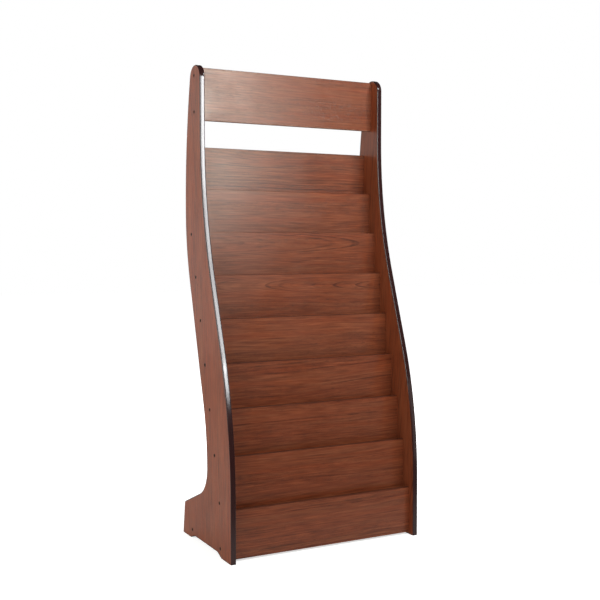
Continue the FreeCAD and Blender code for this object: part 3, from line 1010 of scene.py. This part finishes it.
@dataclass(frozen=True)
class Cut:
    """How a board was sawn: where its arches have their tip, and how strong its lines are.

    The tip is given as x and as a depth below the board's top edge. Lines run straight where
    the board lies well above or below the tip, and a negative taper turns the arches round.
    """

    tip: Pair = (0.3, -0.22)
    tip_radius: float = 0.03
    taper: float = 0.11
    ring_pitch: float = 0.0085
    ring_share: float = 0.42
    vein_share: float = 0.95
    sway: float = 0.035
    seed: float = 0.0


@dataclass
class Shelving:
    """The header, the pocket boards with their floors, and the base board."""

    floors: int = 7
    header_number: int = 10
    sheet_step: float = 0.31
    bare_edge: float = 0.0004
    strip_finish: FlatStrip = FlatStrip("walnut_strip", light=(0.125, 0.033, 0.014, 1.0),
                                        dark=(0.070, 0.018, 0.008, 1.0))
    # Painted light: the header's bottom strip is coloured paler than the walnut strips, a painted lift on
    # the header's underside in place of light bounced up from the floor.
    painted_bounce_finish: FlatStrip = FlatStrip("painted_bounce_strip", light=(0.27, 0.105, 0.060, 1.0),
                                       dark=(0.18, 0.066, 0.036, 1.0))
    floor_finish: WoodgrainMelamine = WoodgrainMelamine("walnut_floors", Grain.ALONG_X,
                                                        offset=(0.2, 0.05, 0.0))
    base_finish: WoodgrainMelamine = WoodgrainMelamine("walnut_base", Grain.ALONG_X,
                                                       offset=(-0.3, 0.0, 0.0))
    cuts: dict[int, Cut] = field(default_factory=lambda: {
        1: Cut((0.5, -0.16), ring_share=0.85, vein_share=1.3, sway=0.04, seed=1.0),
        2: Cut((-0.2, 0.24), ring_share=0.45, vein_share=1.0, sway=0.03, seed=12.0),
        3: Cut((0.205, 0.030), tip_radius=0.0619, taper=0.03, ring_pitch=0.0027, ring_share=0.95,
               vein_share=1.1, sway=0.012, seed=3.0),
        4: Cut((-0.205, 0.032), tip_radius=0.045, taper=-0.045, ring_pitch=0.0018, ring_share=0.75,
               vein_share=1.1, sway=0.02, seed=3.0),
        5: Cut((0.4, -0.2), ring_share=0.45, vein_share=1.05, seed=5.0),
        6: Cut((-0.3, -0.24), ring_share=0.60, vein_share=1.1, sway=0.05, seed=6.0),
        7: Cut((0.5, 0.3), ring_share=0.60, vein_share=1.1, seed=7.0),
        8: Cut(seed=8.0),
        9: Cut(ring_share=0.6, vein_share=1.15, seed=9.0),
        10: Cut(ring_share=0.32, vein_share=0.7, sway=0.010, seed=10.0),
    })

    def board_finish(self, node: str, number: int, groups: Groups) -> bpy.types.Material:
        """Return a board's finish, cut from its own place in the sheet.

        Args:
            node: The board's node, whose lower edge is bare.
            number: The board's number, which sets its place in the sheet.
            groups: The shared groups.

        Returns:
            The board's own material.
        """
        low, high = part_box(node)
        cut = self.cuts[number]
        shift = (-cut.tip[0], cut.tip[1] - high[2], number * self.sheet_step)
        return WoodgrainMelamine(f"walnut_{node}", Grain.ALONG_X, shift, cut.tip_radius,
                                 ring_pitch=cut.ring_pitch, ring_share=cut.ring_share,
                                 vein_share=cut.vein_share, sway=cut.sway, taper=cut.taper,
                                 seed=cut.seed,
                                 bare_below=low[2] + self.bare_edge).material(groups)

    def build(self, groups: Groups, screw: bpy.types.Material) -> None:
        """Dress every board, strip and screw between the panels.

        Args:
            groups: The shared groups.
            screw: The screws' finish.
        """
        strip = self.strip_finish.material(groups)
        dress("header_board", self.board_finish("header_board", self.header_number, groups))
        for node in ("header_top_strip", "base_rear_strip"):
            dress(node, strip)
        # Painted light: the underside strip takes the paler finish, which stands in for the floor's
        # bounced light.
        dress("header_bottom_strip", self.painted_bounce_finish.material(groups))
        for number in range(1, BOARDS + 1):
            node = f"pocket_board_{number}"
            dress(node, self.board_finish(node, number, groups))
            dress(f"pocket_board_strip_{number}", strip)
            LOG.info("%s dressed", node)
        floor = self.floor_finish.material(groups)
        for number in range(1, self.floors + 1):
            dress(f"pocket_floor_{number}", floor)
        dress("base_board", self.base_finish.material(groups))
        for node in ("floor_screws", "base_screws"):
            dress(node, screw)


# ---- studio ------------------------------------------------------------------------------
@dataclass(frozen=True)
class Softbox:
    """A rectangular studio light that faces a point."""

    name: str
    place: Point
    target: Point
    size: Pair
    watts: float
    tint: Tint = (1.0, 1.0, 1.0)

    def hang(self) -> None:
        """Add the light, which the camera doesn't see."""
        data = bpy.data.lights.new(self.name, "AREA")
        data.shape = "RECTANGLE"
        data.size, data.size_y = self.size
        data.energy = self.watts
        data.color = self.tint
        made = bpy.data.objects.new(self.name, data)
        made.location = self.place
        aim = Vector(self.target) - Vector(self.place)
        made.rotation_euler = aim.to_track_quat("-Z", "Y").to_euler()
        made.visible_camera = False
        bpy.context.scene.collection.objects.link(made)


@dataclass
class Studio:
    """The floor, the studio light and the camera.

    In the rack's gloss the floor keeps only a share of its tone. From the front towards the
    rack, the share rises from one mirrored share to the other over the mirrored reach.
    """

    lens: float = 58.45
    sensor: float = 36.0
    camera_place: Point = (-1.32887, -2.53556, 0.84795)
    camera_yaw: float = math.radians(27.69)
    camera_pitch: float = math.radians(-3.04)
    floor_size: float = 30.0
    floor_tone: float = 0.86
    mirrored_reach: Pair = (-0.75, -0.2)
    mirrored_shares: Pair = (0.10, 0.66)
    glow_reach: Pair = (0.5, 1.5)
    glow: Pair = (0.62, 1.1)
    dome_strength: float = 0.04
    softboxes: tuple[Softbox, ...] = (
        Softbox("front_box", (0.13, -1.30, 1.37), (0.0, 0.05, 1.16), (0.22, 0.78), 2.1,
                (0.95, 0.985, 1.0)),
        Softbox("front_right_box", (0.333, -1.30, 1.40), (0.0, 0.05, 1.16), (0.20, 0.62), 6.8,
                (0.98, 0.99, 1.0)),
        Softbox("low_box", (0.25, -1.30, 1.00), (0.0, 0.05, 0.8), (0.12, 0.27), 1.25,
                (0.95, 0.985, 1.0)),
        Softbox("far_box", (0.96, -3.00, 1.64), (0.0, 0.0, 1.2), (0.42, 0.76), 12.2,
                (0.97, 0.99, 1.0)),
        Softbox("high_right_box", (0.95, -1.30, 2.40), (0.0, 0.05, 1.74), (0.3, 0.4), 24.0),
        Softbox("low_right_box", (1.15, -1.30, 0.45), (0.29, -0.15, 0.35), (0.3, 0.8), 0.5),
        Softbox("left_box", (-2.93, 0.0, 1.32), (0.0, 0.0, 0.7), (1.5, 1.5), 60.0,
                (1.0, 0.995, 0.93)),
        Softbox("front_left_box", (-2.54, -1.47, 1.32), (0.0, 0.0, 0.7), (1.5, 1.5), 23.0),
        Softbox("back_left_box", (-1.60, 2.45, 1.10), (0.0, 0.0, 0.7), (2.2, 1.9), 8.0),
        Softbox("right_box", (2.93, 0.3, 1.32), (0.0, 0.0, 0.7), (1.5, 1.5), 55.0),
        Softbox("back_box", (0.8, 2.9, 1.7), (0.0, 0.0, 0.7), (1.8, 1.5), 30.0),
    )

    def camera(self) -> None:
        """Place the camera and make it the scene's."""
        data = bpy.data.cameras.new("camera")
        data.lens = self.lens
        data.sensor_width = self.sensor
        made = bpy.data.objects.new("camera", data)
        made.location = self.camera_place
        made.rotation_euler = (math.pi / 2 + self.camera_pitch, 0.0, -self.camera_yaw)
        bpy.context.scene.collection.objects.link(made)
        bpy.context.scene.camera = made

    def floor(self) -> None:
        """Lay a pale floor that fades to white away from the rack."""
        shape = bmesh.new()
        bmesh.ops.create_grid(shape, x_segments=1, y_segments=1, size=self.floor_size / 2)
        material, graph, shader = new_material("pale_floor")
        point = object_point(graph)
        distance = graph.node("VectorMath", operation="LENGTH")
        graph.feed(distance.inputs[0], point)
        glow = graph.spread(distance.outputs["Value"], self.glow_reach, self.glow)
        path = graph.node("LightPath").outputs
        seen = path["Is Camera Ray"]
        bounced = path["Is Diffuse Ray"]
        mirrored = graph.spread(graph.split(point)[1], self.mirrored_reach, self.mirrored_shares)
        share = graph.math("MAXIMUM", graph.math("MAXIMUM", seen, bounced), mirrored)
        tone = graph.math("MULTIPLY", share, self.floor_tone)
        graph.feed(shader.inputs["Base Color"], graph.join(tone, tone, tone))
        shader.inputs["Roughness"].default_value = 1.0
        shader.inputs["Specular IOR Level"].default_value = 0.0
        shader.inputs["Emission Color"].default_value = WHITE
        graph.feed(shader.inputs["Emission Strength"], graph.math("MULTIPLY", glow, seen))
        finish_piece("floor", shape, material)

    def world(self) -> None:
        """Show white behind the rack and light it from a dim dome."""
        world = bpy.data.worlds.new("studio")
        world.use_nodes = True
        graph = Graph(world.node_tree)
        seen = graph.node("LightPath").outputs["Is Camera Ray"]
        white = world.node_tree.nodes["Background"]
        white.inputs["Color"].default_value = WHITE
        graph.feed(white.inputs["Strength"], graph.math("MAXIMUM", seen, self.dome_strength))
        bpy.context.scene.world = world
        bpy.context.scene.view_settings.view_transform = "Standard"

    def build(self) -> None:
        """Set up the whole studio."""
        self.camera()
        self.floor()
        self.world()
        for softbox in self.softboxes:
            softbox.hang()


def main() -> None:
    """Build the studio and dress the whole rack."""
    logging.basicConfig(level=logging.INFO, format="%(name)s: %(message)s")
    Studio().build()
    groups = Groups()
    screw = DarkScrew("bronzed_screw").material(groups)
    SidePanels(PanelOutline()).build(groups, screw)
    Shelving().build(groups, screw)


if __name__ == "__main__":
    main()
